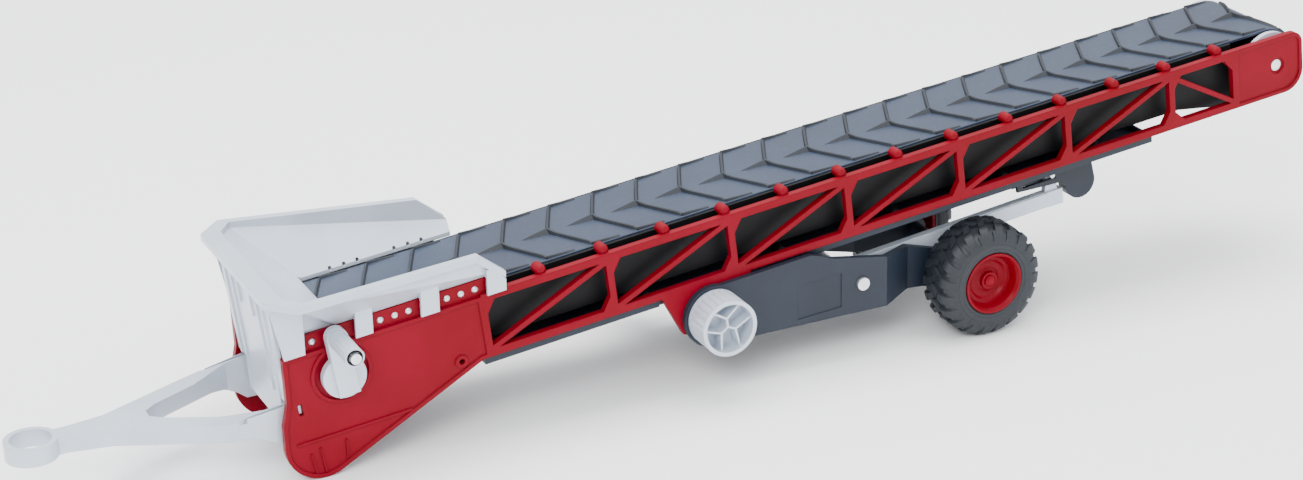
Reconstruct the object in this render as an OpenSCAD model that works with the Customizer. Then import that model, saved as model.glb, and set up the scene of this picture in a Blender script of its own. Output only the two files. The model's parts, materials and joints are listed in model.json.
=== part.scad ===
// Portable farm belt conveyor, toy size: a trough belt on a latticed frame, a feed hopper and drawbar
// at the low end, and a swinging wheel carriage that raises the delivery end.
// Origin: centre of the hitch eye. +X runs from the eye to the delivery end, +Z is up.

/* [Stance] */
// Slope of the conveyor frame when it is fully lowered
tilt = 6.55; // [5.5:0.05:7.5]
// Height of the hitch eye's centre above the ground
hitch_h = 30.4; // [28:0.1:33]
// Distance from the hitch eye to the first lattice post
frame_x = 221.6; // [215:0.2:230]
// Height of the first post's top above the hitch eye
frame_z = 46.7; // [45:0.1:49]

/* [Side frames] */
// Spacing of the lattice posts
bay = 70.8; // [60:0.2:85]
// Number of equal bays
bays = 6; // [5:1:7]
// Length of the short bay before the head plate
last_bay = 44.3; // [38:0.1:54]
// Length of the head plate past the last post
head_len = 47.9; // [46:0.1:58]
// Width over both side frames
frame_w = 85; // [83:0.5:100]
// Thickness of a side frame
side_t = 4; // [3.4:0.1:5]
// Clear height between the rails
post_h = 27.2; // [25:0.1:30]
// Height of each rail
rail_h = 4.2; // [3.4:0.1:5]
// How much lower the far frame's top rail lies than the near one
far_drop = 5.4; // [0:0.2:6]
// Width of a post
post_w = 3.7; // [3:0.1:4.4]
// Width of a diagonal
diag_w = 2.9; // [2.2:0.1:3.6]
// Radius of the round bosses on the top rail
boss_r = 3.1; // [2.4:0.1:3.4]
// Width of the raised bead around the plates
bead_w = 2.2; // [1.6:0.1:2.8]
// Depth of the panels behind that bead
bead_d = 0.9; // [0.5:0.1:1.3]
// Radius of the round foot under the feed housing
lobe_r = 19.4; // [17:0.1:21]
// Distance from the hitch eye to the round foot
lobe_x = 133.5; // [131:0.1:136]

/* [Belt and rollers] */
// Width of the belt
belt_w = 61; // [50:0.5:61.4]
// Thickness of the belt
belt_t = 1.6; // [1.2:0.1:2]
// Outer radius of the belt on both end rollers
belt_r = 19.1; // [18:0.1:19.6]
// Height of the belt's top face above the rails' lower edge
belt_top = 5.5; // [4.9:0.1:6]
// Distance from the last post to the head roller
head_roller = 30.3; // [28:0.1:32]
// Distance from the first post back to the tail roller
tail_roller = 78; // [76:0.2:80]
// Height of the return run's outer face above the posts' feet
return_gap = 5.7; // [4.8:0.1:6.6]
// Height of a cleat arm
cleat_h = 1.3; // [0.8:0.1:1.6]
// Height of the cleat's middle fin
fin_h = 2.6; // [1.8:0.1:2.8]
// How far a cleat's arms sweep back to the belt's edge
cleat_sweep = 13.4; // [10:0.2:16]
// Nominal cleat spacing
cleat_pitch = 25.8; // [22:0.2:30]
// Radius of the head axle
head_axle_r = 3.4; // [2.8:0.1:4.2]
// Radius of the drive shaft
shaft_r = 2.5; // [2:0.1:3]

/* [Hopper] */
// Height of the hopper rim above the hitch eye
rim_z = 73.5; // [71:0.5:80]
// Half-width of the rim between its front chamfers
rim_front_y = 49.5; // [46:0.5:52]
// Greatest half-width of the rim
rim_wide_y = 63.9; // [60:0.5:68]
// Half-width of the rim at the belt end
rim_end_y = 45.3; // [44.8:0.1:48]
// Distance from the hitch eye to the rim's front edge
rim_front_x = 106; // [104:0.5:108]
// Length of the front chamfer along the conveyor
rim_chamfer = 13.2; // [10:0.2:16]
// Distance from the hitch eye to the rim's belt end
rim_end_x = 219.6; // [214:0.2:222]
// Thickness of the hopper's walls
hopper_t = 2; // [1.6:0.1:2.4]

/* [Drawbar] */
// Bore radius of the hitch eye
eye_r = 10.3; // [8:0.1:11]
// Wall of the hitch eye
eye_wall = 2.9; // [2.4:0.1:3.6]
// Height of the hitch eye
eye_h = 9.4; // [8:0.1:11]

/* [Crank] */
// Throw of the crank handle
crank_throw = 22.6; // [20:0.2:26]
// Radius of the crank's disc
crank_disc_r = 11.3; // [10:0.1:14]
// Radius of the handle's sleeve
grip_r = 5; // [4:0.1:6]
// Length of the handle's sleeve
grip_len = 24; // [18:0.5:30]

/* [Wheel carriage] */
// Distance of the carriage pivot along the frame
pivot_s = 124.3; // [122:0.1:127]
// Depth of the carriage pivot below the rails' lower edge
pivot_t = 48.8; // [47.6:0.1:50]
// Length of the swinging arms, pivot to wheel axle
arm_len = 166.1; // [160:0.5:172]
// Thickness of an arm
arm_t = 3.4; // [2.8:0.1:3.8]
// Distance from the pivot to the strut's pin
strut_at = 89.9; // [86:0.1:93]
// Radius of the pivot shaft
pivot_r = 3; // [2.5:0.1:3.5]
// Radius of the hand wheels
knob_r = 15.7; // [13:0.1:17]
// Depth of the hand wheels
knob_w = 17.8; // [14:0.2:20]
// Half the depth of a strut's bar
strut_r = 4.2; // [3.4:0.1:4.4]

/* [Wheels] */
// Outer radius of the tyre
tyre_r = 32.4; // [30:0.1:34]
// Width of the tyre
tyre_w = 29; // [24:0.5:30]
// Distance of each tyre's outer face from the middle
wheel_y = 61; // [60.5:0.1:66]
// Radius where the tyre sits on the rim
rim_seat_r = 17.7; // [16:0.1:19]
// Radius of the wheel axle
axle_r = 2.5; // [2:0.1:3]

/* [Fits] */
// Radial clearance of shafts that turn in their bores
run_fit = 0.05; // [0.02:0.01:0.1]
// Gap between faces that move past each other
gap = 0.3; // [0.3:0.05:0.6]

/* [Hidden] */
$fn = 96;

red = "crimson";
silver = "gainsboro";
anthracite = "slategray";
black = "#202226";

// Side view places: p = [along, up]. The frame's own axes start at the first post's top.
function to_world(p) = [frame_x + p[0] * cos(tilt) - p[1] * sin(tilt),
    frame_z + p[0] * sin(tilt) + p[1] * cos(tilt)];
function to_frame(q) = [(q[0] - frame_x) * cos(tilt) + (q[1] - frame_z) * sin(tilt),
    -(q[0] - frame_x) * sin(tilt) + (q[1] - frame_z) * cos(tilt)];
function polar(a, r) = [r * cos(a), r * sin(a)];
function heading(p, q) = atan2(q[1] - p[1], q[0] - p[0]);
function arc(c, r, a0, a1, n = 12) = [for (i = [0:n]) c + polar(a0 + (a1 - a0) * i / n, r)];
// Angle of the line from p that touches the circle (c, r) on its left (1) or right (-1) side
function tangent_angle(p, c, r, side) = heading(p, c) + side * asin(r / norm(c - p));
function tangent_point(p, c, r, side) =
    p + polar(tangent_angle(p, c, r, side), sqrt(pow(norm(c - p), 2) - r * r));

ground = -hitch_h;
side_y = frame_w / 2;
inner_y = side_y - side_t;
s_last = bays * bay;
s_head = s_last + last_bay;
s_end = s_head + head_len;
rail_bottom = -post_h - rail_h;

head_c = [s_head + head_roller, belt_top - belt_r];
tail_c = [-tail_roller, belt_top - belt_r];
drum_r = belt_r - belt_t - gap;
return_t = post_h - return_gap;
belt_edge = belt_w / 2;
bed_wall_t = 1.8;
bed_wall_y = belt_edge + 0.7;
bed_out_y = bed_wall_y + bed_wall_t;
guide_s = [10, s_last + 6];

tray_bottom = rail_bottom - 4.6;
tray_end = s_last - 13.8;
tray_wall_y = side_y - 2.5;

lobe_c = to_frame([lobe_x, ground + lobe_r]);
housing_corner = [-4.4, rail_bottom];
lobe_touch = tangent_point(housing_corner, lobe_c, lobe_r, 1);
housing_front_x = lobe_x - lobe_r + 2.4;
ledge_t = 3;
strip_top = 12;
strip_back = 2;

rivet_s = [-89.2, -53.4, -45.6, -38.2, -17.6, -9.9, -2.3];
rivet_t = 7.2;
rivet_r = 1.8;
rivet_hole = 1;

pivot = [pivot_s, -pivot_t];
pivot_xz = to_world(pivot);
wheel_z = ground + tyre_r;
wheel_xz = [pivot_xz[0] + sqrt(pow(arm_len, 2) - pow(wheel_z - pivot_xz[1], 2)), wheel_z];
arm_tilt = heading(pivot_xz, wheel_xz);
arm_out_y = side_y + gap + arm_t;
knob_y = arm_out_y + gap;
knob_face_y = knob_y + knob_w;
tyre_in_y = wheel_y - tyre_w;
arm_in_y = tyre_in_y - 1;
strut_w = 6;
strut_y = arm_in_y - arm_t - gap - strut_w / 2;
strut_xz = pivot_xz + polar(arm_tilt + 3.8, strut_at);
strut_p = to_frame(strut_xz);
track_s = 350;
track_t = tray_bottom - 6.5;
track_travel = 17.5;
cross_pin_r = 1.5;
cheek_t = 2;
cheek_gap = 4;
rod_r = 2;
tie_r = 2.6;
tie_hole = 1.5;
tie_t = -post_h - 1.6;
tie_s = [-15.9, bay + 20, 2 * bay + 30, 3 * bay + 30, 4 * bay + 30, 5 * bay + 20];

module on_frame() {
    translate([frame_x, 0, frame_z])
        rotate([0, -tilt, 0])
            children();
}

// A side-view outline made solid between two widths
module slab(y0, y1) {
    translate([0, y1, 0])
        rotate([90, 0, 0])
            linear_extrude(y1 - y0)
                children();
}

// A round bar or bore across the machine at side-view place p
module across(p, r, y0, y1) {
    translate([p[0], y0, p[1]])
        rotate([-90, 0, 0])
            cylinder(h = y1 - y0, r = r);
}

module ring_across(p, r_out, r_in, y0, y1) {
    difference() {
        across(p, r_out, y0, y1);
        across(p, r_in, y0 - 1, y1 + 1);
    }
}

module bar_2d(p, q, w) {
    n = polar(heading(p, q) + 90, w / 2);
    polygon([p + n, q + n, q - n, p - n]);
}

/* ---------- side frames ---------- */

module housing_2d(inset) {
    front = to_frame([housing_front_x + inset, 0]);
    top_front = to_frame([housing_front_x + inset - 0.6, to_world([-105, ledge_t])[1]]);
    low_front = to_frame([lobe_x - lobe_r + inset, 1]);
    slant = polar(heading(housing_corner, lobe_touch) - 90, inset);
    corner = housing_corner + slant;
    polygon(concat(
        [[-inset, ledge_t - inset], [top_front[0], ledge_t - inset],
            to_frame([housing_front_x + inset, 12.7]), low_front],
        arc(lobe_c, lobe_r - inset, 180 - tilt, heading(lobe_c, lobe_touch) + 360, 24),
        [corner, [-inset, rail_bottom + inset]]));
}

module head_2d(inset, drop) {
    top = rail_h - drop - inset;
    low = rail_bottom + inset;
    r_top = 7 - inset;
    r_low = 13 - inset;
    right = s_end - inset;
    polygon(concat(
        [[s_head + inset, low]],
        arc([right - r_low, low + r_low], r_low, -90, 0),
        arc([right - r_top, top - r_top], r_top, 0, 90),
        [[s_head + inset, top]]));
}

module gusset_2d(p, w, h) {
    polygon([p, p + [w, 0], p + [0, h]]);
}

module lattice_2d(drop) {
    posts = concat([for (i = [0:bays]) i * bay], [s_head]);
    translate([-0.5, -drop]) square([s_head + 1, rail_h]);
    translate([-0.5, rail_bottom]) square([s_head + 1, rail_h]);
    for (s = posts)
        translate([s - post_w / 2, -post_h - 0.5]) square([post_w, post_h - drop + 1]);
    for (i = [0:bays - 1])
        bar_2d([i * bay, -post_h - 0.6], [(i + 1) * bay, 0.6 - drop], diag_w);
    bar_2d([s_last, 0.6 - drop], [s_head, -post_h - 0.6], diag_w);
    for (i = [0:bays]) {
        gusset_2d([i * bay + post_w / 2 - 0.1, 0.1 - drop], 5, -7.5);
        if (i > 0) gusset_2d([i * bay - post_w / 2 + 0.1, -post_h - 0.1], -5, 7.5);
    }
    gusset_2d([s_head - post_w / 2 + 0.1, 0.1 - drop], -6, -7.5);
    gusset_2d([s_last + post_w / 2 - 0.1, -post_h - 0.1], 6, 6);
}

module lug_2d() {
    polygon([[pivot_s - 27, rail_bottom + 0.5], [pivot_s - 17.5, -pivot_t - 6.5],
        [pivot_s, -pivot_t - 13], [pivot_s + 17.5, -pivot_t - 2], [pivot_s + 26, rail_bottom + 0.5]]);
    translate(pivot) circle(13.2);
}

// Spacer boss with a domed end, running in to the bed's wall
module boss(p, y0) {
    r = boss_r;
    len = -bed_out_y - gap - y0;
    translate([p[0], y0, p[1]])
        rotate([-90, 0, 0])
            rotate_extrude()
                polygon([[0, -1.3], [r * 0.45, -1.1], [r * 0.75, -0.6], [r * 0.95, 0.2], [r, 1],
                    [r, len], [0, len]]);
}

// Near side; the far one is its mirror image with a lower top rail and no bosses
module side_frame(tie_bores, drop, bosses) {
    y_out = -side_y;
    on_frame() difference() {
        union() {
            slab(y_out, -inner_y) {
                housing_2d(0);
                lattice_2d(drop);
                head_2d(0, drop);
                lug_2d();
            }
            slab(y_out + strip_back, -inner_y)
                polygon([[-104, ledge_t - 1], [-101, strip_top], [6, strip_top], [6, ledge_t - 1]]);
            if (bosses) for (k = [1:2 * bays + 1])
                boss([k * bay / 2 - 1, rail_h + 1.2], y_out + 3);
            across(tail_c, 16, y_out, y_out + 1);
            across([-15.9, tie_t], 3.5, y_out, -inner_y);
            slab(y_out, y_out + bead_d + 0.2) {
                bar_2d([-107, -45], [-46, -45.6], 1.4);
                bar_2d([-100, -63], [-101, -52], 1);
                bar_2d([-95, -64], [-96, -50], 1);
                bar_2d([-83, -60], [-82, -50], 1);
            }
        }
        difference() {
            slab(y_out - 1, y_out + bead_d) {
                housing_2d(bead_w);
                head_2d(bead_w, drop);
            }
            across(tail_c, 16, y_out - 2, y_out + 3);
            across([-15.9, tie_t], 3.5, y_out - 2, y_out + 3);
            slab(y_out, y_out + bead_d + 0.2) {
                bar_2d([-107, -45], [-46, -45.6], 1.4);
                bar_2d([-100, -63], [-101, -52], 1);
                bar_2d([-95, -64], [-96, -50], 1);
                bar_2d([-83, -60], [-82, -50], 1);
            }
        }
        across(tail_c, 14, y_out - 1, y_out + 1.6);
        across(tail_c, shaft_r + run_fit, y_out - 1, 0);
        across(head_c, head_axle_r + run_fit, y_out - 1, 0);
        across(head_c, head_axle_r + 1.5, y_out - 1, y_out + bead_d + 0.9);
        across(pivot, pivot_r + run_fit, y_out - 1, 0);
        slab(y_out - 1, 0) translate([-102.9, -29.6]) square([2.2, 6]);
        for (s = rivet_s) across([s, rivet_t], rivet_hole, y_out - 1, 0);
        for (s = tie_bores) across([s, tie_t], tie_hole, y_out - 1, 0);
    }
}

module side_frame_near() {
    color(red) side_frame([tie_s[0]], 0, true);
}

module side_frame_far() {
    color(red) mirror([0, 1, 0]) side_frame(tie_s, far_drop, false);
}

/* ---------- hopper ---------- */

rim_out = [[rim_front_x, rim_front_y], [rim_front_x + rim_chamfer, rim_wide_y], [rim_end_x, rim_end_y]];
rim_in = [[rim_front_x + 10.2, rim_front_y - 1.5], [rim_front_x + 17.6, rim_wide_y - 5.6],
    [rim_end_x, rim_end_y - 4.4]];
throat_y = belt_edge + 0.5;
throat_front = -67;
throat_back = 13;
throat_t = belt_top + fin_h + 0.4;
// Outlines mirrored about the middle, pushed out by a wall
function both_sides(half, wall) = concat(
    [for (p = half) p + wall * [p == half[2] ? 0 : -1, 1]],
    [for (i = [2:-1:0]) [half[i][0], -half[i][1]] + wall * [i == 2 ? 0 : -1, -1]]);

// The funnel runs on past its end, where the rear cut stops it
run_on = 40;
rim_side = rim_in[2] - rim_in[1];
rim_run_on = rim_in + [[0, 0], [0, 0], rim_side * run_on / rim_side[0]];

module funnel(wall) {
    hull() {
        translate([0, 0, rim_z - 3])
            linear_extrude(8)
                polygon(both_sides(rim_run_on, wall));
        on_frame() translate([throat_front - wall, -throat_y - wall, throat_t - 4])
            cube([throat_back + run_on - throat_front + wall, 2 * (throat_y + wall), 5.5]);
    }
}

module rear_cut() {
    slab(-100, 100)
        polygon([[60, -60], [rim_end_x + 15, -60], [rim_end_x + 15, rim_z - 12.5],
            [rim_end_x, rim_z], [60, rim_z]]);
}

// x range of each hanging tab on the sides
tabs = [[117.5, 127.2], [153.6, 162.6], [188.2, 198], [225.4, 234.2]];
tab_t = 1.7;
tab_y = side_y + 0.1;
function ledge_z(x) = frame_z + (ledge_t + 0.4) / cos(tilt) + (x - frame_x) * tan(tilt);

module tab(x0, x1, top) {
    slab(-tab_y - tab_t, -tab_y)
        polygon([[x0, ledge_z(x0)], [x1, ledge_z(x1)], [x1, top], [x0, top]]);
    slab(-tab_y - 0.1, -inner_y + hopper_t)
        polygon([[x0, ledge_z(x0) + 9.4], [x0 + 1.8, ledge_z(x0 + 1.8) + 9.4], [x0 + 1.8, top], [x0, top]]);
    slab(-tab_y - 0.1, -inner_y + hopper_t)
        polygon([[x1 - 1.8, ledge_z(x1 - 1.8) + 9.4], [x1, ledge_z(x1) + 9.4], [x1, top], [x1 - 1.8, top]]);
}

module hopper_side() {
    on_frame() slab(-inner_y + 0.1, -inner_y + 0.1 + hopper_t)
        polygon([[-98, 0.5], [6, 0.5], [6, 24], [-98, 34]]);
    for (i = [0:2]) tab(tabs[i][0], tabs[i][1], rim_z - 4);
    // the corner panel widens up to the rim
    slab(-tab_y - tab_t, -tab_y)
        polygon([[116.4, ledge_z(116.4)], [127.2, ledge_z(127.2)], [126, rim_z - 2], [109.5, rim_z - 2]]);
    // end tab, cut back to the funnel's sloping end
    intersection() {
        tab(tabs[3][0] - 1.5, tabs[3][1], rim_z - 9);
        slab(-side_y - 5, 0)
            polygon([[200, 40], [240, 40], [240, rim_z - 21], [rim_end_x - 2, rim_z], [200, rim_z]]);
    }
    slab(-tab_y - tab_t, -tab_y + 2)
        polygon([[rim_end_x - 3, rim_z - 3.4], [rim_end_x, rim_z], [234.2, 62], [234.2, 58.6]]);
}

module front_wall() {
    top_x = rim_front_x + 5;
    low_x = housing_front_x + 1.2;
    slab(-inner_y + 0.1, inner_y - 0.1)
        polygon([[top_x, rim_z - 3], [top_x + 2, rim_z - 3], [low_x + 2, 12], [low_x, 12]]);
    slab(-27.6, 27.6)
        polygon([[low_x, 12.1], [low_x + 2, 12.1], [low_x + 3.2, -6], [low_x + 1.2, -6]]);
    for (y = [-30, -20, 20, 30])
        slab(y - 0.8, y + 0.8)
            polygon([[top_x - 1.1, rim_z - 3], [top_x + 1, rim_z - 3], [low_x + 1, 13], [low_x - 1.1, 13]]);
    for (y = [-10, 10])
        slab(y - 0.8, y + 0.8)
            polygon([[top_x - 1.1, rim_z - 3], [top_x + 1, rim_z - 3], [top_x + 3.6, 50], [top_x + 1.2, 50]]);
}

module hopper() {
    color(silver) difference() {
        union() {
            intersection() {
                funnel(hopper_t);
                rear_cut();
            }
            translate([0, 0, rim_z - 3.6]) linear_extrude(3.6) polygon(both_sides(rim_out, 0));
            hopper_side();
            mirror([0, 1, 0]) hopper_side();
            front_wall();
        }
        funnel(0);
        on_frame() for (s = rivet_s) across([s, rivet_t], rivet_hole, -side_y, side_y);
        // room for the frames' riveting strips, the top rails and the belt below the throat
        on_frame() for (m = [0, 1]) mirror([0, m, 0])
            slab(-side_y - 0.05, -inner_y)
                translate([-105, -2]) square([111.5, strip_top + 2]);
        on_frame() slab(-side_y - 0.1, side_y + 0.1)
            translate([-6, -2]) square([40, rail_h + 2.3]);
        on_frame() slab(-bed_out_y - gap, bed_out_y + gap)
            polygon([[-99.8, -40], [-99.8, belt_top + 1], [-90, throat_t - 0.2], [60, throat_t - 0.2],
                [60, -40]]);
    }
}

module rivets() {
    on_frame() for (s = rivet_s) {
        across([s, rivet_t], rivet_hole - 0.1, -side_y + strip_back, -inner_y + hopper_t);
        intersection() {
            translate([s, -side_y + strip_back + 0.9, rivet_t]) sphere(r = 2.05);
            across([s, rivet_t], rivet_r, -side_y, -side_y + strip_back);
        }
    }
}

module hopper_rivets_near() {
    color("white") rivets();
}

module hopper_rivets_far() {
    color("white") mirror([0, 1, 0]) rivets();
}

/* ---------- drawbar ---------- */

eye_out = eye_r + eye_wall;
bar_end_x = housing_front_x + 9;
bar_out_y = inner_y - 2.4;

module drawbar_plan() {
    difference() {
        union() {
            circle(eye_out);
            polygon([[10, 5.2], [17, 5.2], [38, 8.8], [88, bar_out_y - 3.6], [110, bar_out_y - 1.4],
                [bar_end_x, bar_out_y], [bar_end_x, -bar_out_y], [110, -bar_out_y + 1.4],
                [88, -bar_out_y + 3.6], [38, -8.8], [17, -5.2], [10, -5.2]]);
        }
        circle(eye_r);
        polygon([[58, 3.4], [64, 8.6], [102, 28.3], [108, bar_out_y - 5], [bar_end_x + 1, bar_out_y - 4.4],
            [bar_end_x + 1, -bar_out_y + 4.4], [108, -bar_out_y + 5], [102, -28.3], [64, -8.6],
            [58, -3.4]]);
    }
}

module drawbar() {
    h = eye_h / 2;
    color(silver) difference() {
        union() {
            intersection() {
                translate([0, 0, -20]) linear_extrude(40) drawbar_plan();
                slab(-side_y, side_y)
                    polygon([[-20, -h], [-20, h], [88, h], [119, 10], [bar_end_x, 10.6], [bar_end_x, -14],
                        [118, -14], [113, -10], [106, -6.4], [98, -h]]);
            }
            slab(-4, 4)
                polygon([[50, -h], [63, -h], [63, -h + 2.4], [50, 0]]);
            // clip lugs that snap into the slots of the housing
            for (m = [0, 1]) mirror([0, m, 0])
                on_frame() slab(-side_y + 2.9, -bar_out_y + 1)
                    translate([-102.6, -29.2]) square([1.6, 5.2]);
        }
        for (m = [0, 1]) mirror([0, m, 0])
            translate([94, bar_out_y - 3.7, 4])
                linear_extrude(10) polygon([[3, 0], [bar_end_x - 96, 0], [bar_end_x - 96, 2.9], [0, 0.8]]);
    }
}

/* ---------- bed, ties, tray ---------- */

module slide_bed() {
    s0 = -52;
    s1 = s_head + 4;
    color(black) on_frame() {
        for (m = [0, 1]) mirror([0, m, 0])
            slab(-bed_out_y, -bed_wall_y)
                polygon([[s0, -4], [s0 + 8, -return_t - 4], [s_last + 10, -return_t - 4],
                    [s_last + 33, rail_bottom + 1], [s1, rail_bottom + 1], [s1, belt_top - 0.8],
                    [s0, belt_top - 0.8]]);
        slab(-bed_wall_y, bed_wall_y)
            translate([s0, belt_top - belt_t - gap - 1.6]) square([s1 - s0, 1.6]);
        // side ledges that sit on the frames
        for (m = [0, 1]) mirror([0, m, 0])
            slab(-inner_y, -bed_out_y)
                translate([s0, -1.6]) square([s1 - s0, 1.6]);
    }
}

module return_guides() {
    color(black) on_frame()
        for (s = guide_s)
            across([s, -return_t + belt_t + 1.9 + gap], 1.9, -bed_wall_y, bed_wall_y);
}

module cross_ties() {
    color(black) on_frame()
        for (s = tie_s)
            ring_across([s, tie_t], tie_r, 1.1, -inner_y, inner_y);
}

module tie_screws() {
    color(silver) on_frame()
        for (s = tie_s) {
            across([s, tie_t], 1.0, inner_y - 12, side_y + 0.2);
            across([s, tie_t], 2.4, side_y, side_y + 1.2);
        }
}

module under_tray() {
    color(anthracite) on_frame() difference() {
        slab(-tray_wall_y, tray_wall_y)
            translate([-3, tray_bottom]) square([tray_end + 3, rail_bottom - tray_bottom]);
        slab(-tray_wall_y + 1.8, tray_wall_y - 1.8)
            translate([-1.4, tray_bottom + 1.6]) square([tray_end - 0.2, 10]);
        // notches round the side frames' lugs
        for (m = [0, 1]) mirror([0, m, 0])
            slab(-tray_wall_y - 1, -inner_y)
                translate([pivot_s - 28, tray_bottom - 1]) square([56, 10]);
    }
}

/* ---------- belt ---------- */

head_down = tangent_angle([guide_s[1], -return_t], head_c, belt_r, -1);
tail_down = 180 - tangent_angle([-guide_s[0], -return_t], [-tail_c[0], tail_c[1]], belt_r, -1);
function belt_outline(r, d) = concat(
    arc(head_c, r, 90, head_down - 90, 32),
    [[guide_s[1], -return_t + d], [guide_s[0], -return_t + d]],
    arc(tail_c, r, 360 - (180 - tail_down) - 90, 90, 32));

top_run = head_c[0] - tail_c[0];
head_turn = belt_r * (180 - head_down) * PI / 180;
wrap_fit = round((2 * top_run + 2 * head_turn) / cleat_pitch);
pitch = (2 * top_run + 2 * head_turn) / wrap_fit;
fin_len = 15.5;
arm_y = belt_edge - 1.5;
first_cleat = 55.7;

module cleat_arm_2d() {
    polygon([[0, 0], [cleat_sweep, arm_y], [cleat_sweep + 1.2, arm_y], [1.3, 0]]);
}

// Cleat on a flat run, pointing against the belt's travel
module cleat() {
    linear_extrude(cleat_h) {
        cleat_arm_2d();
        mirror([0, 1]) cleat_arm_2d();
    }
    slab(-0.7, 0.7)
        polygon([[-fin_len, -0.2], [0, fin_h], [1.3, fin_h], [3.6, -0.2]]);
    for (m = [0, 1]) mirror([0, m, 0])
        translate([cleat_sweep, arm_y - 1, -0.2]) cube([15, 1, 0.9]);
}

// Cleat wrapped round an end roller, in short straight blocks
module wrapped_cleat(c, a) {
    steps = 5;
    for (m = [0, 1]) mirror([0, m, 0])
        for (i = [0:steps - 1])
            translate([c[0], arm_y * i / steps, c[1]])
                rotate([0, a + (i + 0.5) * cleat_sweep / steps / belt_r * 180 / PI, 0])
                    translate([-1.5, 0, belt_r - 0.3])
                        cube([3, arm_y / steps, cleat_h + 0.3]);
}

module belt() {
    n_top = floor((top_run - 24) / pitch);
    first = first_cleat - pitch * floor((first_cleat - tail_c[0] - fin_len - 1) / pitch);
    color(black) on_frame() {
        difference() {
            slab(-belt_edge, belt_edge) polygon(belt_outline(belt_r, 0));
            slab(-belt_edge - 1, belt_edge + 1) polygon(belt_outline(belt_r - belt_t, belt_t));
        }
        for (i = [0:n_top - 1])
            translate([first + i * pitch, 0, belt_top]) cleat();
        for (i = [0:round((guide_s[1] - guide_s[0]) / pitch) - 3])
            translate([guide_s[1] - 12 - i * pitch, 0, -return_t]) rotate([0, 180, 0]) cleat();
        for (a = [18, 80]) wrapped_cleat(head_c, a);
        for (a = [215, 285]) wrapped_cleat(tail_c, a);
    }
}

/* ---------- head roller ---------- */

flange_r = belt_r - 0.9;
flange_y = belt_edge + 1.3;
flange_t = 3;
core_r = 7;

module head_roller_drum() {
    color(black) on_frame() difference() {
        across(head_c, drum_r, -belt_edge, belt_edge);
        across(head_c, head_axle_r, -belt_edge - 1, belt_edge + 1);
        for (a = [0:60:300])
            across(head_c + polar(a, 11.2), 3.4, -belt_edge - 1, belt_edge + 1);
    }
}

module head_flange() {
    on_frame() difference() {
        union() {
            across(head_c, flange_r, -flange_y - flange_t, -flange_y);
            across(head_c, core_r, -flange_y, -belt_edge);
            across(head_c, core_r, -inner_y + gap, -flange_y - flange_t);
        }
        across(head_c, head_axle_r, -side_y, side_y);
    }
}

module head_flange_near() {
    color("thistle") head_flange();
}

module head_flange_far() {
    color("thistle") mirror([0, 1, 0]) head_flange();
}

module head_axle() {
    end = side_y - bead_d - 1.1;
    color("white") on_frame() across(head_c, head_axle_r, -end, end);
}

/* ---------- tail roller and crank ---------- */

disc_t = 4.2;
disc_y = side_y + gap;
crank_arm_t = 3;
crank_face_y = disc_y + disc_t + crank_arm_t;
crank_lean = 92;
crank_end = tail_c + polar(crank_lean, crank_throw);
shaft_end_y = disc_y + disc_t;
grip_y = crank_face_y + gap;
pin_r = 2;
cap_r = 5;

module tail_roller_drum() {
    color(black) on_frame() difference() {
        across(tail_c, drum_r, -belt_edge, belt_edge);
        across(tail_c, shaft_r, -belt_edge - 1, belt_edge + 1);
        for (a = [0:60:300])
            across(tail_c + polar(a, 10.5), 4, -belt_edge - 1, belt_edge + 1);
    }
}

module drive_shaft() {
    color(silver) on_frame() across(tail_c, shaft_r, -shaft_end_y, side_y + 1.4);
}

module crank_arm() {
    color(silver) on_frame() difference() {
        union() {
            across(tail_c, crank_disc_r, -disc_y - disc_t, -disc_y);
            slab(-crank_face_y, -disc_y - 1.6) {
                bar_2d(tail_c + polar(crank_lean, -9), crank_end, 11);
                translate(crank_end) circle(5.5);
            }
        }
        across(tail_c, shaft_r, -shaft_end_y, 0);
        across(crank_end, pin_r, -side_y - 20, 0);
    }
}

module shaft_cap() {
    color(silver) on_frame() difference() {
        across(tail_c, cap_r, side_y + gap, side_y + 3.2);
        across(tail_c, shaft_r, side_y - 1, side_y + 1.4);
    }
}

module grip_pin() {
    color("white") on_frame() {
        across(crank_end, pin_r, -grip_y - grip_len - 1.2, -disc_y - 1.6);
        across(crank_end, 2.7, -grip_y - grip_len - 2, -grip_y - grip_len - 0.4);
    }
}

module grip_sleeve() {
    flutes = 14;
    color("silver") on_frame() difference() {
        across(crank_end, grip_r, -grip_y - grip_len, -grip_y);
        across(crank_end, pin_r + run_fit, -grip_y - grip_len - 1, 0);
        across(crank_end, 4.1, -grip_y - grip_len - 1, -grip_y - grip_len + 2);
        for (a = [0:360 / flutes:359])
            across(crank_end + polar(a, grip_r + 0.5), 0.9, -grip_y - grip_len + 2.5, -grip_y - 3);
    }
}

module grip_ring() {
    color(black) on_frame()
        ring_across(crank_end, 4.1, 3.1, -grip_y - grip_len, -grip_y - grip_len + 2);
}

/* ---------- wheel carriage ---------- */

// Side view of an arm at rest, as seen from the near side
module arm_side_2d() {
    k = pivot_xz;
    w = wheel_xz;
    polygon([k + [-4, -17], k + [25, -16.6], [w[0] - 40, w[1] - 6], w + [0, -8.5], w + [0, 8.5],
        [w[0] - 40, w[1] + 20], [w[0] - 94.6, w[1] + 29], [w[0] - 102.5, w[1] + 32.2],
        to_world([pivot_s + 60, rail_bottom - 1]), to_world([pivot_s, rail_bottom - 1])]);
    translate(k) circle(17.4);
    translate(w) circle(8.5);
}

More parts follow.
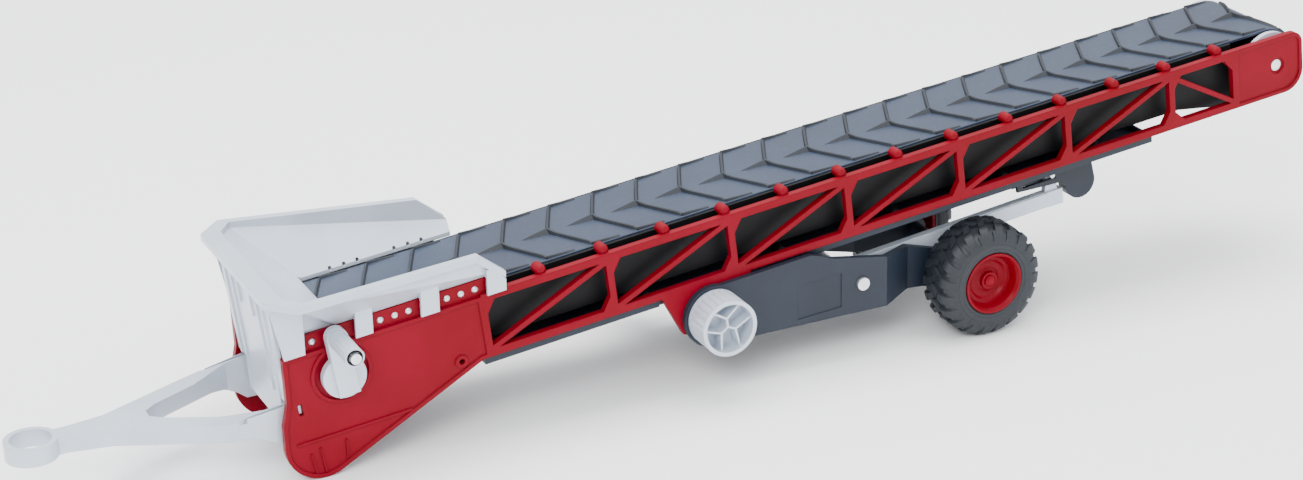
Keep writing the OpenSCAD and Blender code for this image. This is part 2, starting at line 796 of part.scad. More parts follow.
// Plan view: the arm steps inwards to pass behind its tyre
module arm_plan_2d() {
    x0 = pivot_xz[0] - 20;
    x1 = wheel_xz[0] - tyre_r - 28;
    x2 = wheel_xz[0] - tyre_r - 6;
    x3 = wheel_xz[0] + 12;
    polygon([[x0, -arm_out_y], [x1, -arm_out_y], [x2, -arm_in_y], [x3, -arm_in_y],
        [x3, -arm_in_y + arm_t], [x2 - 1, -arm_in_y + arm_t], [x1 - 1, -arm_out_y + arm_t],
        [x0, -arm_out_y + arm_t]]);
}

module swing_arm() {
    difference() {
        intersection() {
            slab(-80, 0) arm_side_2d();
            translate([0, 0, -60]) linear_extrude(140) arm_plan_2d();
        }
        across(pivot_xz, pivot_r + run_fit, -80, 0);
        across(wheel_xz, axle_r, -80, 0);
        across(strut_xz, rod_r, -80, 0);
        // shallow pressed panel on the outer face
        slab(-arm_out_y - 1, -arm_out_y + 0.5)
            polygon([pivot_xz + [50, 7], pivot_xz + [77, 9], pivot_xz + [77, -11], pivot_xz + [50, -13]]);
    }
}

module swing_arm_near() {
    color(anthracite) swing_arm();
}

module swing_arm_far() {
    color(anthracite) mirror([0, 1, 0]) swing_arm();
}

module arm_web() {
    y = arm_out_y - arm_t;
    color(anthracite) difference() {
        slab(-y, y)
            polygon([pivot_xz + [30, 11], pivot_xz + [72, 15], pivot_xz + [72, 12.4],
                pivot_xz + [30, 8.4]]);
        translate([pivot_xz[0] + 38, -y + 12, -30]) cube([26, 2 * y - 24, 80]);
    }
}

module axle_tube() {
    y = arm_in_y - arm_t;
    color(anthracite) difference() {
        across(wheel_xz, 5.5, -y, y);
        across(wheel_xz, axle_r, -y - 1, y + 1);
    }
}

module wheel_axle() {
    end = wheel_y - 6;
    color(silver) across(wheel_xz, axle_r, -end, end);
}

module strut_pivot_rod() {
    color(silver) {
        across(strut_xz, rod_r, -arm_out_y, arm_out_y);
        for (m = [0, 1]) mirror([0, m, 0]) across(strut_xz, 3.6, -arm_out_y - 1.8, -arm_out_y);
    }
}

/* ---------- struts and their guide ---------- */

block_s = [track_s - 3.5, track_s + 6.9];
bar_t = track_t - 14.8;

module strut() {
    y0 = -strut_y - strut_w / 2;
    y1 = -strut_y + strut_w / 2;
    start = strut_p;
    end = [block_s[0], bar_t];
    on_frame() difference() {
        union() {
            across(start, 5.6, y0, y1);
            slab(y0, y1) bar_2d(start, end + polar(heading(start, end), 1), 2 * strut_r);
            slab(y0 + 0.8, y1 - 0.8) bar_2d(start, end, 2 * strut_r + 1);
            slab(y0, y1)
                translate([block_s[0], bar_t - 4.6]) square([block_s[1] - block_s[0], 9.2]);
            slab(-strut_y - 1.7, -strut_y + 1.7)
                polygon([[track_s - 5, bar_t], [track_s + 5, bar_t], [track_s + 2.6, track_t + 1],
                    [track_s - 2.6, track_t + 1]]);
            across([track_s, track_t], 3, -strut_y - 1.7, -strut_y + 1.7);
        }
        across(start, rod_r + run_fit, y0 - 1, y1 + 1);
        across([track_s, track_t], cross_pin_r, y0 - 1, y1 + 1);
    }
}

module strut_near() {
    color(silver) strut();
}

module strut_far() {
    color(silver) mirror([0, 1, 0]) strut();
}

module strut_cross_pin() {
    end = strut_y + cheek_gap / 2 + cheek_t + 0.6;
    color(silver) on_frame() across([track_s, track_t], cross_pin_r, -end, end);
}

lobe_s = track_s + 18.4;
stop_r = 9.8;

module guide_side() {
    y0 = -strut_y - cheek_gap / 2 - cheek_t;
    y1 = -strut_y + cheek_gap / 2 + cheek_t;
    s0 = track_s - track_travel - 6;
    difference() {
        union() {
            slab(y0, y1) {
                polygon([[s0, tray_bottom], [s0, track_t - 3.6], [track_s + 7, track_t - 6],
                    [lobe_s - stop_r, tray_bottom - 16], [lobe_s + stop_r, tray_bottom - 16],
                    [lobe_s + stop_r - 2, tray_bottom]]);
                translate([lobe_s, tray_bottom - 16]) circle(stop_r);
            }
        }
        slab(-strut_y - cheek_gap / 2, -strut_y + cheek_gap / 2)
            polygon([[s0 - 1, -90], [s0 - 1, tray_bottom - 2.4], [track_s + 8.2, tray_bottom - 2.4],
                [track_s + 8.2, -90]]);
        slab(y0 - 1, y1 + 1)
            translate([track_s - track_travel - 2.2, track_t - cross_pin_r - 0.6])
                square([track_travel + 4.4, 2 * cross_pin_r + 1.2]);
    }
}

module strut_guide() {
    color(anthracite) on_frame() {
        guide_side();
        mirror([0, 1, 0]) guide_side();
        slab(-strut_y, strut_y)
            translate([track_s - 2, tray_bottom - 2]) square([20, 2]);
    }
}

/* ---------- hand wheels ---------- */

knob_blind = 6;

module pivot_shaft() {
    end = knob_y + knob_blind;
    color(silver) across(pivot_xz, pivot_r, -end, end);
}

module hand_wheel() {
    flutes = 28;
    rim_wall = 2.2;
    stem = 4.8;
    spoke_w = 1.2;
    difference() {
        union() {
            difference() {
                across(pivot_xz, knob_r, -knob_face_y, -knob_y);
                across(pivot_xz, knob_r - rim_wall, -knob_face_y - 1, -knob_y - knob_blind - 1.5);
            }
            for (i = [0:2])
                slab(-knob_face_y + 2.6, -knob_y - 4) {
                    a = 97 + 120 * i;
                    c = pivot_xz + polar(a, stem);
                    bar_2d(pivot_xz, c, spoke_w);
                    bar_2d(c, pivot_xz + polar(a + 38, knob_r - 1.2), spoke_w);
                    bar_2d(c, pivot_xz + polar(a - 38, knob_r - 1.2), spoke_w);
                    translate(c) circle(spoke_w / 2);
                }
        }
        across(pivot_xz, pivot_r, -knob_y - knob_blind, 0);
        for (i = [0:flutes - 1])
            across(pivot_xz + polar(i * 360 / flutes, knob_r + 0.5), 1.05, -knob_face_y + 1.6, -knob_y - 1.6);
    }
}

module hand_wheel_near() {
    color(silver) hand_wheel();
}

module hand_wheel_far() {
    color(silver) mirror([0, 1, 0]) hand_wheel();
}

/* ---------- road wheels ---------- */

// Turned shape about the near wheel's axle; x is the radius, y the depth in from the outer face
module turned() {
    translate([wheel_xz[0], -wheel_y, wheel_xz[1]])
        rotate([-90, 0, 0])
            rotate_extrude()
                children();
}

module tyre() {
    w = tyre_w;
    r = tyre_r;
    turned()
        polygon([[rim_seat_r, 0.6], [rim_seat_r + 3, 0], [r - 6.5, 0.4], [r - 1.8, 3], [r, 5.6],
            [r, w - 5.6], [r - 1.8, w - 3], [r - 6.5, w - 0.4], [rim_seat_r + 3, w],
            [rim_seat_r, w - 0.6]]);
}

module rim() {
    r = rim_seat_r;
    w = tyre_w;
    turned()
        polygon([[axle_r + run_fit, 5], [5, 5], [5, 7.4], [7.6, 8.2], [10.4, 8.2], [12, 6.6], [13.6, 6.6],
            [15.2, 2], [r - 1.2, 0.2], [r, 0.2], [r, w - 0.4], [r - 1.6, w - 0.4], [r - 1.6, 11],
            [5.4, 11], [5.4, w + 0.7], [axle_r + run_fit, w + 0.7]]);
}

module hub_cap() {
    turned()
        polygon([[0, 3.2], [2, 3.4], [3.4, 4.2], [3.4, 5], [0, 5]]);
}

module tyre_near() {
    color("dimgray") tyre();
}

module rim_near() {
    color(red) rim();
}

module hub_cap_near() {
    color(red) hub_cap();
}

module tyre_far() {
    color("dimgray") mirror([0, 1, 0]) tyre();
}

module rim_far() {
    color(red) mirror([0, 1, 0]) rim();
}

module hub_cap_far() {
    color(red) mirror([0, 1, 0]) hub_cap();
}

side_frame_near();
side_frame_far();
hopper();
hopper_rivets_near();
hopper_rivets_far();
drawbar();
slide_bed();
return_guides();
cross_ties();
tie_screws();
belt();
under_tray();
strut_guide();
head_roller_drum();
head_flange_near();
head_flange_far();
head_axle();
tail_roller_drum();
drive_shaft();
crank_arm();
shaft_cap();
grip_pin();
grip_sleeve();
grip_ring();
swing_arm_near();
swing_arm_far();
arm_web();
axle_tube();
wheel_axle();
strut_pivot_rod();
strut_near();
strut_far();
strut_cross_pin();
pivot_shaft();
hand_wheel_near();
hand_wheel_far();
tyre_near();
rim_near();
hub_cap_near();
tyre_far();
rim_far();
hub_cap_far();
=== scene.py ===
import json
import math

import bmesh
import bpy
from mathutils import Matrix, Vector


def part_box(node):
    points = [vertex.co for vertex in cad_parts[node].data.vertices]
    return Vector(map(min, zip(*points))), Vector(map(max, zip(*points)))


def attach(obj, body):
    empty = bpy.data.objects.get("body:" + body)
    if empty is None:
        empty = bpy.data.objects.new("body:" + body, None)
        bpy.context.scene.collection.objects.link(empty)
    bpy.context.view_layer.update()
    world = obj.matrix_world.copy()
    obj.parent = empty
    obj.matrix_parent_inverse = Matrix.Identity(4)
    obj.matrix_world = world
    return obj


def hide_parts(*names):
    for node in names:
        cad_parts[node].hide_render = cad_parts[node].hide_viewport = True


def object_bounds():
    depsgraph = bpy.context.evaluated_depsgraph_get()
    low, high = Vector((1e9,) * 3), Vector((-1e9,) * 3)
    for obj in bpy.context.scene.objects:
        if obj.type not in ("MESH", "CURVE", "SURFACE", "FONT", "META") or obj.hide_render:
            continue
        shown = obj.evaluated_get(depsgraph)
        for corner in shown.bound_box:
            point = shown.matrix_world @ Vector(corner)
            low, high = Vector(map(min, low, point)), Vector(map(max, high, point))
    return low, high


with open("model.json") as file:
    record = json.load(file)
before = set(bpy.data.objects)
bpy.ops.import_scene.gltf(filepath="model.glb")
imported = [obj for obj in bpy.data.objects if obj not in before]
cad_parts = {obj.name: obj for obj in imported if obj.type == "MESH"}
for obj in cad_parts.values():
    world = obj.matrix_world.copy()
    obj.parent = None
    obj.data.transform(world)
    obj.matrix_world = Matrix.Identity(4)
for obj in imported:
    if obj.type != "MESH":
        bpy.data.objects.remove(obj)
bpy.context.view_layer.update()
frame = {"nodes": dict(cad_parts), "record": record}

MM = 0.001
# Rise of the conveyor, and the point where its frame millimetres start
TILT = math.radians(6.55)
FRAME_X, FRAME_Z = 221.6 * MM, 46.7 * MM


# ---------- camera ----------

CAMERA_TARGET = Vector((0.4339, 0.0, 0.0467))
CAMERA_DISTANCE = 1.5182
CAMERA_AZIMUTH, CAMERA_ELEVATION = math.radians(-28.65), math.radians(21.91)
CAMERA_LENS, CAMERA_SHIFT = 75.96, (-0.1224, -0.031)


def make_camera():
    """A long lens from the crank's side, shifted to frame the whole conveyor."""
    data = bpy.data.cameras.new("view")
    cam = bpy.data.objects.new("view", data)
    bpy.context.scene.collection.objects.link(cam)
    bpy.context.scene.camera = cam
    level = math.cos(CAMERA_ELEVATION)
    back = Vector((math.sin(CAMERA_AZIMUTH) * level, -math.cos(CAMERA_AZIMUTH) * level,
                   math.sin(CAMERA_ELEVATION)))
    cam.location = CAMERA_TARGET + back * CAMERA_DISTANCE
    cam.rotation_mode = "QUATERNION"
    cam.rotation_quaternion = (-back).to_track_quat("-Z", "Y")
    data.sensor_width = 36
    data.lens = CAMERA_LENS
    data.shift_x, data.shift_y = CAMERA_SHIFT
    data.clip_start, data.clip_end = 0.01, 20
    data.dof.use_dof = False


make_camera()


# ---------- node helpers ----------

def srgb(code):
    """A hex colour as a linear one."""
    parts = [int(code[i:i + 2], 16) / 255 for i in (1, 3, 5)]
    return [c / 12.92 if c <= 0.04045 else ((c + 0.055) / 1.055) ** 2.4 for c in parts] + [1.0]


def add(tree, kind, links=None, **settings):
    """Add a node, with its settings, and each input linked or given a constant."""
    node = tree.nodes.new("ShaderNode" + kind)
    for key, value in settings.items():
        setattr(node, key, value)
    for key, value in (links or {}).items():
        if isinstance(value, bpy.types.NodeSocket):
            tree.links.new(value, node.inputs[key])
        else:
            node.inputs[key].default_value = value
    return node


def new_material(name):
    material = bpy.data.materials.new(name)
    material.use_nodes = True
    tree = material.node_tree
    tree.nodes.clear()
    out = tree.nodes.new("ShaderNodeOutputMaterial")
    shader = tree.nodes.new("ShaderNodeBsdfPrincipled")
    tree.links.new(shader.outputs["BSDF"], out.inputs["Surface"])
    return material, tree, shader


def ramp(tree, fac, low, high, at=(0.35, 0.65)):
    """Two colours blended over a stretch of a pattern's value."""
    node = add(tree, "ValToRGB", {"Fac": fac})
    node.color_ramp.elements[0].position, node.color_ramp.elements[1].position = at
    node.color_ramp.elements[0].color = low
    node.color_ramp.elements[1].color = high
    return node.outputs["Color"]


def mapped(tree, low, high, fac):
    """A pattern's value, spread from low to high."""
    node = add(tree, "MapRange", {"Value": fac, "To Min": low, "To Max": high})
    return node.outputs["Result"]


def moulded(name, dark, light, rough, grain=0.6, bump=0.06, metal=0.0, edge=0.45, shine=0.5):
    """Injection-moulded plastic: flow mottling, fine mould grain, sink unevenness, round edges.

    grain is the mould texture's size and edge the edges' rounding, both in millimetres.
    """
    material, tree, shader = new_material(name)
    place = add(tree, "TexCoord").outputs["Object"]
    flow = add(tree, "TexNoise", {"Vector": place, "Scale": 38.0, "Detail": 3.0})
    cloud = add(tree, "TexNoise", {"Vector": place, "Scale": 9.0, "Detail": 2.0})
    fine = add(tree, "TexNoise", {"Vector": place, "Scale": 1000.0 / grain, "Detail": 2.0})
    wave = add(tree, "TexNoise", {"Vector": place, "Scale": 75.0, "Detail": 1.0})
    mix = add(tree, "Math", {0: flow.outputs["Fac"], 1: cloud.outputs["Fac"]})
    half = add(tree, "Math", {0: mix.outputs["Value"], 1: 0.5}, operation="MULTIPLY")
    tree.links.new(ramp(tree, half.outputs["Value"], srgb(dark), srgb(light)),
                   shader.inputs["Base Color"])
    tree.links.new(mapped(tree, rough - 0.06, rough + 0.08, cloud.outputs["Fac"]),
                   shader.inputs["Roughness"])
    soft = add(tree, "Bevel", {"Radius": edge * MM}, samples=4)
    skin = add(tree, "Bump", {"Height": fine.outputs["Fac"], "Strength": bump,
                              "Distance": 0.05 * MM, "Normal": soft.outputs["Normal"]})
    sink = add(tree, "Bump", {"Height": wave.outputs["Fac"], "Strength": 0.12,
                              "Distance": 0.3 * MM, "Normal": skin.outputs["Normal"]})
    tree.links.new(sink.outputs["Normal"], shader.inputs["Normal"])
    shader.inputs["Metallic"].default_value = metal
    shader.inputs["Specular IOR Level"].default_value = shine
    shader.inputs["IOR"].default_value = 1.5
    return material


# Red ABS, moulded in a polished tool: glossy, with slight flow marks
RED = moulded("red_abs_moulded", "#6E0010", "#7A011A", 0.36, shine=0.1, edge=0.9)
# Silver-pigmented ABS, moulded: pale, with a soft pearly sheen
SILVER = moulded("silver_abs_moulded", "#B7BFCB", "#C3CBD6", 0.3, metal=0.22)
# Polypropylene in anthracite, spark-eroded tool: fine matt grain
ANTHRACITE = moulded("anthracite_pp_moulded", "#131A26", "#1A2330", 0.48, grain=0.5, bump=0.18,
                     shine=0.35)
# Polypropylene in black, spark-eroded tool
BLACK = moulded("black_pp_moulded", "#050608", "#090A0D", 0.5, grain=0.5, bump=0.15, shine=0.2)
# Acetal roller cheeks in pale lilac grey, moulded and left as moulded
PALE = moulded("pale_acetal_moulded", "#B3ADBE", "#C6C1CF", 0.38)


def rubber(name, dark, light, rough, dust, grain=0.45):
    """Moulded rubber or soft PVC: faint bloom in scattered specks and a fine matt skin."""
    material, tree, shader = new_material(name)
    place = add(tree, "TexCoord").outputs["Object"]
    cloud = add(tree, "TexNoise", {"Vector": place, "Scale": 22.0, "Detail": 4.0})
    fine = add(tree, "TexNoise", {"Vector": place, "Scale": 1000.0 / grain, "Detail": 2.0})
    speck = add(tree, "TexNoise", {"Vector": place, "Scale": 420.0, "Detail": 3.0})
    base = ramp(tree, cloud.outputs["Fac"], srgb(dark), srgb(light), (0.3, 0.7))
    bloom = add(tree, "Math", {0: speck.outputs["Fac"], 1: 0.62}, operation="GREATER_THAN")
    amount = add(tree, "Math", {0: bloom.outputs["Value"], 1: 0.06}, operation="MULTIPLY")
    mix = add(tree, "Mix", {"Factor": amount.outputs["Value"]}, data_type="RGBA")
    tree.links.new(base, mix.inputs["A"])
    mix.inputs["B"].default_value = srgb(dust)
    tree.links.new(mix.outputs["Result"], shader.inputs["Base Color"])
    tree.links.new(mapped(tree, rough - 0.07, rough + 0.09, cloud.outputs["Fac"]),
                   shader.inputs["Roughness"])
    skin = add(tree, "Bump", {"Height": fine.outputs["Fac"], "Strength": 0.22,
                              "Distance": 0.06 * MM})
    tree.links.new(skin.outputs["Normal"], shader.inputs["Normal"])
    shader.inputs["IOR"].default_value = 1.5
    return material


# Soft PVC belt in slate grey, pressed smooth, cleats moulded on
BELT = rubber("slate_pvc_belt", "#1F2A3E", "#283448", 0.4, "#6C7888")
# The same PVC on the cleats, matt; coloured much darker than the belt as painted shade for the
# shadow on the cleats' sides and undersides
CLEAT_PAINTED_SHADE = rubber("slate_pvc_cleats_painted_shade", "#0E131C", "#151C27", 0.6, "#3A4350")
# Soft moulded tyre compound, dull charcoal with a light bloom
TYRE = rubber("charcoal_tyre_rubber", "#0F151C", "#151C24", 0.6, "#3A424C")


def drawn_steel(name, dark, light, rough):
    """Drawn and tumbled steel: fine lines along the axis and small roughness changes."""
    material, tree, shader = new_material(name)
    place = add(tree, "TexCoord").outputs["Object"]
    stretch = add(tree, "Mapping", {"Vector": place, "Scale": (900.0, 60.0, 900.0)})
    lines = add(tree, "TexNoise", {"Vector": stretch.outputs["Vector"], "Scale": 2.0, "Detail": 2.0})
    cloud = add(tree, "TexNoise", {"Vector": place, "Scale": 180.0, "Detail": 2.0})
    tree.links.new(ramp(tree, cloud.outputs["Fac"], srgb(dark), srgb(light)),
                   shader.inputs["Base Color"])
    tree.links.new(mapped(tree, rough - 0.06, rough + 0.1, lines.outputs["Fac"]),
                   shader.inputs["Roughness"])
    soft = add(tree, "Bevel", {"Radius": 0.25 * MM}, samples=4)
    skin = add(tree, "Bump", {"Height": lines.outputs["Fac"], "Strength": 0.1,
                              "Distance": 0.03 * MM, "Normal": soft.outputs["Normal"]})
    tree.links.new(skin.outputs["Normal"], shader.inputs["Normal"])
    shader.inputs["Metallic"].default_value = 0.85
    return material


# Nickel-plated steel pins, rivets and shafts, tumbled bright
STEEL = drawn_steel("plated_steel_tumbled", "#D2D4D8", "#EDEEF0", 0.28)

FINISH = {
    "red_plastic": RED, "silver_plastic": SILVER, "anthracite_plastic": ANTHRACITE,
    "black_plastic": BLACK, "pale_plastic": PALE, "belt_rubber": BELT,
    "tyre_rubber": TYRE, "steel": STEEL,
}


def dress_cad():
    """Give every CAD node the finish of its slot in the record."""
    slots = {p["node"]: p["material_slot"] for p in frame["record"]["subparts"]}
    for name, obj in frame["nodes"].items():
        for material_slot in obj.material_slots:
            material_slot.material = FINISH[slots[name]]


# ---------- mesh helpers ----------

def smooth_by_angle(bm, degrees=32):
    for face in bm.faces:
        face.smooth = True
    for edge in bm.edges:
        edge.smooth = not (edge.is_manifold and edge.calc_face_angle(0) > math.radians(degrees))


def finished(name, bm, material, body, slot_name, *replaced):
    """Turn a mesh into a piece that rides a body in place of the nodes it replaces."""
    bmesh.ops.recalc_face_normals(bm, faces=bm.faces)
    smooth_by_angle(bm)
    mesh = bpy.data.meshes.new(name)
    bm.to_mesh(mesh)
    bm.free()
    obj = bpy.data.objects.new(name, mesh)
    bpy.context.scene.collection.objects.link(obj)
    mesh.materials.append(material)
    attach(obj, body)
    if replaced:
        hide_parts(*replaced)
    return obj


def bent_bar(bm, cuts, shape):
    """A unit block cut crosswise, with every point put in place by shape(along, side, up)."""
    made = bmesh.ops.create_cube(bm, size=1.0)["verts"]
    bmesh.ops.translate(bm, verts=made, vec=(0.5, 0.0, 0.5))
    part = list(made)
    for i in range(1, cuts):
        ring = {f for v in part for f in v.link_faces}
        edges = {e for f in ring for e in f.edges}
        cut = bmesh.ops.bisect_plane(bm, geom=list(part) + list(edges) + list(ring),
                                     plane_co=(i / cuts, 0, 0), plane_no=(1, 0, 0))
        part += [g for g in cut["geom_cut"] if isinstance(g, bmesh.types.BMVert)]
    for v in set(part):
        v.co = shape(v.co.x, v.co.y, v.co.z)


# ---------- belt ----------

# Radius round the rollers, thickness, height of the upper face, half the width
BELT_R, BELT_T, BELT_TOP, BELT_EDGE = 19.1, 1.6, 5.5, 30.5
# Places of both rollers along the frame, and their height
HEAD_S, TAIL_S, ROLLER_T = 499.4, -78.0, -13.6
# The lower run's height, and the two guides that hold it there
RETURN_T = -21.5
GUIDE_LOW, GUIDE_HIGH = 10.0, 430.8
# Spacing of the carcass's rings and, before it is fitted to the loop, of the cleats
RING_STEP, CLEAT_STEP = 3.2, 25.8
# How far a cleat sweeps back by its outer corner, that corner, and the first cleat's point
SWEEP, CORNER_Y, FIRST_APEX_S = 13.4, 29.0, 55.7
EDGE_ROUND = 0.35
# How deep cleats are sunk into the belt's face, so that no gap shows
ROOT = 0.1


def side_point(s, y, t):
    """Frame millimetres (along, across, up) to row metres."""
    return Vector((FRAME_X + (s * math.cos(TILT) - t * math.sin(TILT)) * MM, y * MM,
                   FRAME_Z + (s * math.sin(TILT) + t * math.cos(TILT)) * MM))


def tangent(s, t, centre_s, mirrored=False):
    """Angle by which a belt line from a guide touches a roller from below."""
    ds = (centre_s - s) * (-1 if mirrored else 1)
    dt = ROLLER_T - t
    return math.atan2(dt, ds) - math.asin(BELT_R / math.hypot(ds, dt))


HEAD_DOWN = tangent(GUIDE_HIGH, RETURN_T, HEAD_S)
TAIL_DOWN = tangent(GUIDE_LOW, RETURN_T, TAIL_S, True)
HEAD_ARC = math.pi - HEAD_DOWN
TAIL_ARC = math.pi - TAIL_DOWN
HEAD_RUN = math.sqrt((HEAD_S - GUIDE_HIGH) ** 2 + (ROLLER_T - RETURN_T) ** 2 - BELT_R ** 2)
TAIL_RUN = math.sqrt((GUIDE_LOW - TAIL_S) ** 2 + (ROLLER_T - RETURN_T) ** 2 - BELT_R ** 2)
TOP_RUN = HEAD_S - TAIL_S
STOPS = [TOP_RUN, HEAD_ARC * BELT_R, HEAD_RUN, GUIDE_HIGH - GUIDE_LOW, TAIL_RUN, TAIL_ARC * BELT_R]
LOOP = sum(STOPS)


def belt_place(u, h):
    """Point at run u round the loop, from the tail roller's top, h above the outer face."""
    u %= LOOP
    if u <= STOPS[0]:
        return TAIL_S + u, BELT_TOP + h
    u -= STOPS[0]
    if u <= STOPS[1]:
        a = math.pi / 2 - u / BELT_R
        return HEAD_S + (BELT_R + h) * math.cos(a), ROLLER_T + (BELT_R + h) * math.sin(a)
    u -= STOPS[1]
    if u <= STOPS[2]:
        a = -math.pi / 2 + HEAD_DOWN
        start = (HEAD_S + BELT_R * math.cos(a), ROLLER_T + BELT_R * math.sin(a))
        d = (-math.cos(HEAD_DOWN), -math.sin(HEAD_DOWN))
        return start[0] + d[0] * u + d[1] * h, start[1] + d[1] * u + d[0] * h
    u -= STOPS[2]
    if u <= STOPS[3]:
        return GUIDE_HIGH - u, RETURN_T - h
    u -= STOPS[3]
    if u <= STOPS[4]:
        d = (-math.cos(TAIL_DOWN), math.sin(TAIL_DOWN))
        return GUIDE_LOW + d[0] * u - d[1] * h, RETURN_T + d[1] * u + d[0] * h
    u -= STOPS[4]
    a = -math.pi / 2 - TAIL_DOWN - u / BELT_R
    return TAIL_S + (BELT_R + h) * math.cos(a), ROLLER_T + (BELT_R + h) * math.sin(a)


def belt_point(u, y, h):
    """Row point at run u, y across, h above the belt's outer face."""
    s, t = belt_place(u, h)
    return side_point(s, y, t)


def make_belt():
    """The whole endless belt: carcass, V cleats, edge ribs and centre fins."""
    bm = bmesh.new()
    count = int(round(LOOP / CLEAT_STEP))
    pitch = LOOP / count
    # carcass: a strip's cross-section carried round the loop
    inner_y = BELT_EDGE - EDGE_ROUND
    section = ((-BELT_EDGE, -BELT_T), (BELT_EDGE, -BELT_T), (BELT_EDGE, -EDGE_ROUND),
               (inner_y, 0.0), (-inner_y, 0.0), (-BELT_EDGE, -EDGE_ROUND))
    rings = []
    for i in range(int(LOOP / RING_STEP)):
        rings.append([bm.verts.new(belt_point(i * RING_STEP, y, h)) for y, h in section])
    for a, b in zip(rings, rings[1:] + rings[:1]):
        for i in range(len(section)):
            j = (i + 1) % len(section)
            bm.faces.new((a[i], a[j], b[j], b[i]))
    carcass = set(bm.faces)
    first = FIRST_APEX_S - TAIL_S

    def arm(apex, sign):
        """One side of a V, higher near the point and lower at the belt's edge."""
        def shape(x, w, z):
            y = CORNER_Y * x
            lift = 1.45 + 1.15 * max(0.0, 1 - y / 6.5) ** 1.6
            lift *= 1 - 0.55 * max(0.0, (x - 0.93) / 0.07)
            width = 2.7 - 1.5 * z
            u = apex + SWEEP * x ** 1.04 + w * width
            return belt_point(u, sign * y, -ROOT + z * (lift + ROOT))
        return shape

    def rib(apex, sign):
        """The low rib that runs back from a V's corner along the edge."""
        def shape(x, w, z):
            u = apex + SWEEP - 0.4 + 15.5 * x
            lift = 1.35 * (1 - 0.7 * x)
            y = sign * (CORNER_Y - 0.1 + w * (2.0 - 1.0 * z))
            return belt_point(u, y, -ROOT + z * (lift + ROOT))
        return shape

    def fin(apex):
        """The wedge that backs a V's point."""
        def shape(x, w, z):
            u = apex + 0.5 - 16 * x
            lift = 2.55 * (1 - x) ** 0.85
            width = (5.0 * (1 - x) ** 0.8 + 0.3) * (1 - 0.8 * z)
            return belt_point(u, w * width, -ROOT + z * (lift + ROOT))
        return shape

    for k in range(count):
        apex = first + k * pitch
        for sign in (-1, 1):
            bent_bar(bm, 10, arm(apex, sign))
            bent_bar(bm, 5, rib(apex, sign))
        bent_bar(bm, 8, fin(apex))
    # the carcass gets the belt colour; cleats, ribs and fins get the darker material, a painted
    # shade
    for face in bm.faces:
        face.material_index = 0 if face in carcass else 1
    belt = finished("belt_with_cleats", bm, BELT, "frame", "belt_rubber", "belt")
    belt.data.materials.append(CLEAT_PAINTED_SHADE)


# ---------- tyres ----------

TYRE_WIDTH = 29.0
LUGS_PER_SIDE = 20
# The lugs' crown, and the mean radius that turns a distance round them into an angle
CROWN_R, LUG_R = 32.4, 31.0


def tyre_radius(depth):
    """Outer radius of the lugs at a depth in from the nearer face."""
    d = min(depth, TYRE_WIDTH - depth)
    points = ((0.0, 24.5), (0.4, 25.9), (3.0, 30.6), (5.6, CROWN_R), (14.6, CROWN_R))
    for (d0, r0), (d1, r1) in zip(points, points[1:]):
        if d <= d1:
            return r0 + (r1 - r0) * max(0.0, (d - d0)) / (d1 - d0)
    return CROWN_R


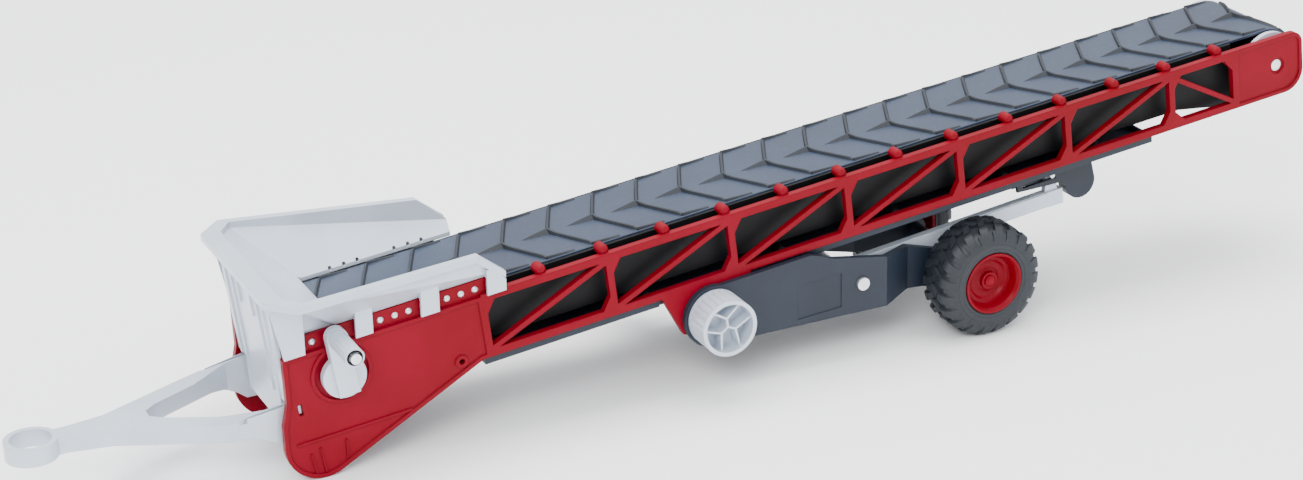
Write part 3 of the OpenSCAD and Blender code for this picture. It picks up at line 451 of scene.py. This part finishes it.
def make_tyre(name, node, body, sign):
    """A turned carcass with lugs in a V from both faces, half a step apart."""
    lo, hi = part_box(node)
    centre = (Vector(lo) + Vector(hi)) / 2
    outer_y = lo[1] if sign < 0 else hi[1]

    def place(depth, radius, angle):
        return Vector((centre.x + radius * MM * math.cos(angle), outer_y - sign * depth * MM,
                       centre.z + radius * MM * math.sin(angle)))

    bm = bmesh.new()
    profile = [(1.2, 17.8), (0.45, 18.6), (0.5, 20.2), (0.15, 20.6), (0.1, 22.6), (0.5, 23.0),
               (0.6, 25.2), (2.2, 28.2), (4.4, 29.8), (7.5, 30.4), (14.5, 30.5)]
    profile += [(TYRE_WIDTH - d, r) for d, r in reversed(profile[:-1])]
    start = [bm.verts.new(place(d, r, 0.0)) for d, r in profile]
    edges = [bm.edges.new(pair) for pair in zip(start, start[1:] + start[:1])]
    bmesh.ops.spin(bm, geom=start + edges, cent=(centre.x, 0, centre.z), axis=(0, 1, 0),
                   angle=math.tau, steps=96, use_merge=True)
    bmesh.ops.remove_doubles(bm, verts=bm.verts, dist=0.00001)
    step = math.tau / LUGS_PER_SIDE

    def lug(phase, from_depth, to_depth, lean, wide, taper):
        """A bar over the crown between two depths, leaning and tapering as it goes."""
        def shape(x, w, z):
            depth = from_depth + (to_depth - from_depth) * x
            top = tyre_radius(depth) - 0.05
            low = top - 2.6
            across = wide * (1 - taper * x) * (1 - 0.22 * z)
            angle = phase + (lean * x + w * across) / LUG_R
            return place(depth, low + (top - low) * z, angle)
        return shape

    for k in range(LUGS_PER_SIDE):
        for side in (0, 1):
            phase = (k + 0.5 * side) * step
            flip = (lambda d: d) if side == 0 else (lambda d: TYRE_WIDTH - d)
            bent_bar(bm, 4, lug(phase, flip(15.8), flip(9.2), 3.6, 4.9, 0.1))
            bent_bar(bm, 6, lug(phase + 3.9 / LUG_R, flip(8.4), flip(0.7), 2.4, 5.8, -0.12))
            bent_bar(bm, 3, lug(phase + 9.0 / LUG_R, flip(3.4), flip(0.5), 0.6, 2.2, 0.0))
    finished(name, bm, TYRE, body, "tyre_rubber", node)


# ---------- studio ----------

def make_floor():
    """A plain pale floor just under the wheels."""
    bpy.ops.mesh.primitive_plane_add(size=12, location=(0.4, 0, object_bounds()[0].z - 0.0003))
    floor = bpy.context.object
    floor.name = "floor"
    material, tree, shader = new_material("studio_floor")
    shader.inputs["Base Color"].default_value = (0.97, 0.97, 0.975, 1)
    shader.inputs["Roughness"].default_value = 0.85
    floor.data.materials.append(material)


def make_world():
    """A soft studio sky: dim at the horizon, bright overhead."""
    world = bpy.data.worlds.new("studio")
    bpy.context.scene.world = world
    world.use_nodes = True
    tree = world.node_tree
    background = tree.nodes["Background"]
    direction = add(tree, "TexCoord").outputs["Generated"]
    split = add(tree, "SeparateXYZ", {"Vector": direction})
    level = add(tree, "MapRange", {"Value": split.outputs["Z"], "From Min": 0.0, "From Max": 0.8,
                                   "To Min": 0.45, "To Max": 2.5})
    tree.links.new(level.outputs["Result"], background.inputs["Strength"])
    background.inputs["Color"].default_value = (0.97, 0.985, 1.0, 1)


def make_lights():
    """Three soft boxes: place, size and power of each."""
    for name, place, size, power in (
            ("key", (-0.9, -1.6, 1.7), (1.2, 0.9), 40.0),
            ("fill", (1.9, -1.3, 0.9), (1.2, 1.0), 8.0),
            ("top", (0.4, 0.3, 1.9), (1.8, 1.0), 44.0)):
        data = bpy.data.lights.new(name, "AREA")
        data.shape = "RECTANGLE"
        data.size, data.size_y = size
        data.energy = power
        light = bpy.data.objects.new(name, data)
        bpy.context.scene.collection.objects.link(light)
        light.location = place
        aim = Vector((0.35, 0, 0.04)) - Vector(place)
        light.rotation_mode = "QUATERNION"
        light.rotation_quaternion = aim.to_track_quat("-Z", "Y")


dress_cad()
make_belt()
make_tyre("near_tyre_treaded", "tyre_near", "near_wheel", -1)
make_tyre("far_tyre_treaded", "tyre_far", "far_wheel", 1)
make_floor()
make_world()
make_lights()
